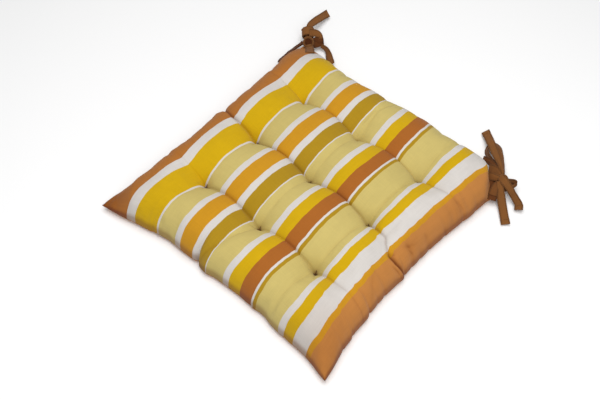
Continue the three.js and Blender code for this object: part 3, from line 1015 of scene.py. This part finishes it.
LEFT_WRAP_STRAPS = {
    "root": {"rows": [
        (-152.0, 166.3, 41.6, -1, 1.2), (-159.7, 174.9, 35, -4, 1.2), (-167.7, 183.0, 29, -11, 1.1),
        (-175.3, 189.8, 24, -14, 0.9),
    ]},
    # Painted shade: a strap painted dark all over, set behind the ring so that its hole looks dark
    "ring_shade_backing": {"painted_shade": 1, "rows": [
        (-193.7, 201.8, 13, 40, 1.3), (-188.0, 203.1, 12, 39, 1.4), (-181.4, 203.9, 11.5, 39, 1.3),
    ]},
    "loop_back": {"rows": [
        (-190.2, 207.8, 27, 46, 1), (-185.2, 211.1, 27.5, 46, 1), (-181.2, 214.7, 26, 40, 0.95),
        (-177.7, 216.8, 23, 41, 0.8), (-174.7, 217.2, 18.5, 60, 0.6),
    ]},
    "drop": {"painted_shade": 0.8, "rows": [
        (-179.9, 213.4, 22, 24, 1.25), (-176.8, 212.6, 17.5, 18, 1.5), (-174.5, 210.9, 13, 12, 1.5),
        (-171.0, 208.9, 9, 13, 1.35),
    ]},
    "end_right": {"hemmed": True, "rows": [
        (-169.3, 212.1, 10.5, 79, 0.55), (-163.8, 213.1, 9.2, 75, 0.7), (-156.4, 211.3, 8.4, 67, 0.9),
        (-149.5, 206.8, 7.4, 43, 1), (-142.2, 201.1, 6.8, 30, 1), (-136.0, 195.8, 6.4, 29, 1),
    ]},
}


def through_rows(rows, steps_per_row=24):
    """Places on a centripetal curve through the rows, with the tilt and width at each."""
    points = np.array([row[:3] for row in rows], dtype=float)
    tilts, widths = np.array([row[3:] for row in rows], dtype=float).T
    points = np.vstack([2 * points[0] - points[1], points, 2 * points[-1] - points[-2]])
    places = []
    for k in range(1, len(points) - 2):
        p0, p1, p2, p3 = points[k - 1 : k + 3]
        d0, d1, d2 = (math.sqrt(np.linalg.norm(b - a)) for a, b in ((p0, p1), (p1, p2), (p2, p3)))
        leaving = ((p1 - p0) / d0 - (p2 - p0) / (d0 + d1) + (p2 - p1) / d1) * d1
        arriving = ((p2 - p1) / d1 - (p3 - p1) / (d1 + d2) + (p3 - p2) / d2) * d1
        for step in range(steps_per_row):
            u = step / steps_per_row
            places.append(
                p1
                + leaving * u
                + (3 * (p2 - p1) - 2 * leaving - arriving) * u**2
                + (2 * (p1 - p2) + leaving + arriving) * u**3
            )
    places.append(points[-2])
    along = np.arange(len(places)) / steps_per_row
    row_numbers = np.arange(len(rows))
    return np.array(places), np.interp(along, row_numbers, tilts), np.interp(along, row_numbers, widths)


def evenly(places, *values):
    """The same path with places TAPE_STEP apart, the values at them and the distance run."""
    run = np.concatenate([[0.0], np.cumsum(np.linalg.norm(np.diff(places, axis=0), axis=1))])
    steps = max(4, round(run[-1] / TAPE_STEP))
    at = np.linspace(0.0, run[-1], steps + 1)
    even = np.stack([np.interp(at, run, places[:, axis]) for axis in range(3)], axis=1)
    return even, [np.interp(at, run, value) for value in values], at


def around_axis(axis):
    """An axis at length one, with two directions square to it."""
    axis = unit(np.array(axis, dtype=float))
    side = unit(np.cross(axis, (0.3, 0.5, 1.0)))
    return axis, side, np.cross(axis, side)


class TapeMesh:
    """Collects lengths of tape into one mesh with its cloth coordinates in metres."""

    def __init__(self):
        self.places = []
        self.cloth = []
        self.faces = []
        self.painted_shade = []
        self.stitches = []
        self.length = 0.0

    def add(self, middle, across, outward, along, widths, thicknesses, bow, pleats, painted_shade=0.0):
        """Sweep the tape's section. bow lifts its middle over its edges, pleats crumple it."""
        half = TAPE_SECTION
        section = [(-u, h, 1) for u, h in half[:0:-1]] + [(u, h, 1) for u, h in half]
        section += [(u, h, -1) for u, h in half[::-1]] + [(-u, h, -1) for u, h in half[1:]]
        start = len(self.places)
        count = len(section)
        for k in range(len(middle)):
            for u, h, side in section:
                pleat = pleats[k] * math.cos(PLEATS * math.pi * u + 0.05 * along[k])
                lift = side * h * thicknesses[k] / 2 + bow[k] * (1 - u * u) + pleat * (1 - u**4)
                self.places.append(middle[k] + across[k] * u * widths[k] / 2 + outward[k] * lift)
                self.cloth.append(((along[k] + self.length) * MM, u * TAPE_WIDTH / 2 * MM))
                self.painted_shade.append(painted_shade)
        for k in range(len(middle) - 1):
            for c in range(count):
                a = start + k * count + c
                b = start + k * count + (c + 1) % count
                self.faces.append((a, b, b + count, a + count))
        last = start + (len(middle) - 1) * count
        for c in range(count // 2 - 1):
            near, far = c, count - 1 - c
            self.faces.append((start + near, start + far, start + far - 1, start + near + 1))
            self.faces.append((last + near, last + near + 1, last + far - 1, last + far))
        self.length += along[-1]

    def strap(self, rows, hemmed=False, painted_shade=0.0):
        middle, (tilt, share), along = evenly(*through_rows(rows))
        tangent = unit(np.gradient(middle, axis=0))
        level = unit(np.cross(tangent, (0.0, 0.0, 1.0)))
        turn = np.radians(tilt)[:, None]
        across = level * np.cos(turn) + np.cross(tangent, level) * np.sin(turn)
        outward = np.cross(across, tangent)
        to_end = along[-1] - along
        gather = np.maximum(1 - share, 0.0)
        hem = np.clip((HEM_LENGTH - to_end) / 1.2, 0.0, 1.0) * hemmed
        widths = mix(TAPE_WIDTH, HEM_WIDTH, hem) * share
        thicknesses = mix(TAPE_THICKNESS, HEM_THICKNESS, hem) * (1 + GATHERED_THICKNESS * gather)
        closing = np.clip(to_end / 1.3, 0.0, 1.0) ** 0.5
        thicknesses = thicknesses * mix(0.35, 1.0, np.where(hemmed, closing, 1.0))
        phase = middle[0, 0] + middle[0, 1]
        ripple = TAPE_RIPPLE * np.sin(along * 0.31 + phase) * np.sin(along * 0.113 + 2 * phase)
        middle = middle + outward * ripple[:, None]
        bow = GATHERED_BOW * gather * (1 - gather) + TAPE_BOW * np.sin(along * 0.13 + phase)
        self.add(middle, across, outward, along, widths, thicknesses, bow, PLEAT_DEPTH * gather, painted_shade)
        for edge in (-STITCH_AT, STITCH_AT):
            for side in (-1, 1):
                lift = side * STITCH_LIFT * thicknesses / 2 + bow * (1 - edge * edge)
                seam = middle + across * (edge * widths / 2)[:, None] + outward * lift[:, None]
                self.stitch_along(seam, along)
        if hemmed:
            at_hem = np.searchsorted(along, along[-1] - HEM_LENGTH + 1.0)
            for side in (-1, 1):
                shares = np.linspace(-STITCH_AT, STITCH_AT, 24)[:, None]
                lift = side * thicknesses[at_hem] / 2 + bow[at_hem] * (1 - shares * shares)
                seam = middle[at_hem] + across[at_hem] * shares * widths[at_hem] / 2
                self.stitch_along(seam + outward[at_hem] * lift, np.linspace(0, STITCH_AT * TAPE_WIDTH, 24))

    def stitch_along(self, seam, along):
        """Even stitches along a seam line, as places for short runs of thread."""
        for start in np.arange(0.8, along[-1] - STITCH_LENGTH, STITCH_LENGTH + STITCH_GAP):
            at = np.linspace(start, start + STITCH_LENGTH, 4)
            stitch = [np.interp(at, along, seam[:, k]) for k in range(3)]
            self.stitches.append(np.stack(stitch, axis=1))

    def turn_round(self, place, axis, radius, width, turns, lean, thickness=TAPE_THICKNESS):
        """Tape wound on a bundle. lean is how far it climbs along the axis in one turn."""
        axis, side, front = around_axis(axis)
        steps = max(24, round(abs(turns) * 2 * math.pi * radius / TAPE_STEP))
        share = np.linspace(0.0, 1.0, steps + 1)
        angle = (share * turns * 2 * math.pi)[:, None]
        radial = side * np.cos(angle) + front * np.sin(angle)
        grown = radius + 0.9 * share[:, None]
        climb = axis * lean * turns * (share[:, None] - 0.5)
        middle = np.array(place, dtype=float) + radial * grown + climb
        tangent = unit(np.gradient(middle, axis=0))
        across = unit(np.cross(tangent, radial))
        outward = np.cross(across, tangent)
        along = share * 2 * math.pi * radius * turns
        even = np.ones(steps + 1)
        sizes = (width * even, thickness * even, 0.5 * even, 0.35 * even)
        self.add(middle, across, outward, along, *sizes)

    def bundle(self, place, axis, start, end, radius):
        """The gathered tapes inside a knot, as one folded bunch with closed ends."""
        axis, side, front = around_axis(axis)
        first = len(self.places)

        def add_point(share, offset):
            self.places.append(np.array(place) + axis * mix(start, end, share) + offset)
            self.cloth.append((mix(start, end, share) * MM, 0.0))
            self.painted_shade.append(BUNCH_PAINTED_SHADE)

        for row in range(BUNCH_ROWS + 1):
            share = row / BUNCH_ROWS
            ends = math.sin(math.pi * min(max(share, 0.02), 0.98)) ** 0.35
            for step in range(BUNCH_AROUND):
                angle = 2 * math.pi * step / BUNCH_AROUND
                fold = 1 + 0.13 * math.cos(BUNCH_FOLDS * angle + 1.8 * share) + 0.05 * math.cos(2 * angle)
                reach = radius * ends * fold
                add_point(share, side * math.cos(angle) * reach + front * math.sin(angle) * reach)
        rings = first + np.arange((BUNCH_ROWS + 1) * BUNCH_AROUND).reshape(-1, BUNCH_AROUND)
        for low, high in zip(rings[:-1].tolist(), rings[1:].tolist()):
            for step in range(BUNCH_AROUND):
                after = (step + 1) % BUNCH_AROUND
                self.faces.append((low[step], low[after], high[after], high[step]))
        for ring, share, turned in ((rings[0].tolist(), 0.0, True), (rings[-1].tolist(), 1.0, False)):
            centre = len(self.places)
            add_point(share, 0.0)
            for step in range(BUNCH_AROUND):
                edge = (ring[step], ring[(step + 1) % BUNCH_AROUND])
                self.faces.append((*(edge[::-1] if turned else edge), centre))

    def build(self, name):
        mesh = smooth_mesh(name, np.array(self.places), self.faces)
        corners = np.array([self.cloth[index] for face in self.faces for index in face])
        give_cloth(mesh, corners, np.array(self.painted_shade))
        mesh.materials.append(TAPE)
        tie = add_object(name, mesh)
        smooth = tie.modifiers.new("round", "SUBSURF")
        smooth.levels = 1
        smooth.render_levels = 1
        return tie


RIGHT_KNOT = (180.2, 182.3, 19.5)
RIGHT_BUNCH_AXIS = (-0.45, 0.85, -0.1)
RIGHT_WRAP_AXIS = (-0.05, 1.0, 0.0)
LEFT_KNOT = (-196.5, 211.7, 19.5)
LEFT_KNOT_AXIS = (-0.6, 0.66, 0.3)
LEFT_RING = (-176.2, 189.9, 29.0)
LEFT_RING_AXIS = (0.475, -0.533, 0.70)


tie_stitches = ThreadMesh(STITCH_RADIUS)


def make_tie(name, node, straps, bundles=(), turns=()):
    """One piece of tape: its gathered bunches, its turns round them, then its straps."""
    tape = TapeMesh()
    for bundle in bundles:
        tape.bundle(**bundle)
    for turn in turns:
        tape.turn_round(**turn)
    for strap in straps.values():
        tape.strap(**strap)
    for stitch in tape.stitches:
        tie_stitches.run(stitch)
    tie = tape.build(name)
    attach(tie, "root")
    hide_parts(node)


right_bunch = {"axis": RIGHT_BUNCH_AXIS, "start": -9.0, "end": 9.0, "radius": 4.2}
right_turn = {"axis": RIGHT_WRAP_AXIS, "radius": 4.9, "width": 10.5, "turns": 1.2, "lean": 2.0}
left_bunch = {"axis": LEFT_KNOT_AXIS, "start": -7.0, "end": 7.5, "radius": 6.0}
left_turn = {"axis": LEFT_KNOT_AXIS, "radius": 7.6, "width": 14.0, "turns": 1.2, "lean": 2.0}
left_ring = {"axis": LEFT_RING_AXIS, "radius": 6.2, "width": 9.0, "turns": 1.0, "lean": 0.5}

make_tie("right_bow", "tie_right_long", RIGHT_STRAPS, bundles=[{"place": RIGHT_KNOT, **right_bunch}])
make_tie("right_bow_wrap", "tie_right_wrap", RIGHT_WRAP_STRAPS, turns=[{"place": RIGHT_KNOT, **right_turn}])
make_tie("left_bow", "tie_left_long", LEFT_STRAPS, bundles=[{"place": LEFT_KNOT, **left_bunch}])
make_tie(
    "left_bow_wrap",
    "tie_left_wrap",
    LEFT_WRAP_STRAPS,
    turns=[{"place": LEFT_KNOT, **left_turn}, {"place": LEFT_RING, "thickness": 2.8, **left_ring}],
)
tie_stitches.build("tie_stitches")

# Studio

FLOOR_SIZE_M = 6.0
FLOOR_WHITE = (0.97, 0.97, 0.97)


def make_studio():
    material = bpy.data.materials.new("pale_floor")
    material.use_nodes = True
    shader = material.node_tree.nodes["Principled BSDF"]
    shader.inputs["Base Color"].default_value = (*linear(FLOOR_WHITE), 1.0)
    shader.inputs["Roughness"].default_value = 0.9
    mesh = bpy.data.meshes.new("floor")
    half = FLOOR_SIZE_M / 2
    corners = [(-half, -half, 0), (half, -half, 0), (half, half, 0), (-half, half, 0)]
    mesh.from_pydata(corners, [], [(0, 1, 2, 3)])
    mesh.materials.append(material)
    add_object("floor", mesh)

    world = bpy.data.worlds.new("soft_studio")
    world.use_nodes = True
    background = world.node_tree.nodes["Background"]
    background.inputs["Color"].default_value = (1.0, 1.0, 1.0, 1.0)
    background.inputs["Strength"].default_value = 0.28
    bpy.context.scene.world = world


LAMPS = [
    {"name": "overhead_lamp", "place": (0.0, 0.0, 1600.0), "size_m": 1.2, "power": 18.0},
    {"name": "side_lamp", "place": (700.0, -500.0, 1300.0), "size_m": 0.9, "power": 9.3},
]


def make_lamps():
    for lamp in LAMPS:
        data = bpy.data.lights.new(lamp["name"], "AREA")
        data.size = lamp["size_m"]
        data.energy = lamp["power"]
        light = add_object(lamp["name"], data)
        light.location = in_frame(*lamp["place"])
        aim = in_frame(0.0, 0.0, 0.0) - light.location
        light.rotation_euler = aim.to_track_quat("-Z", "Y").to_euler()


make_studio()
make_lamps()
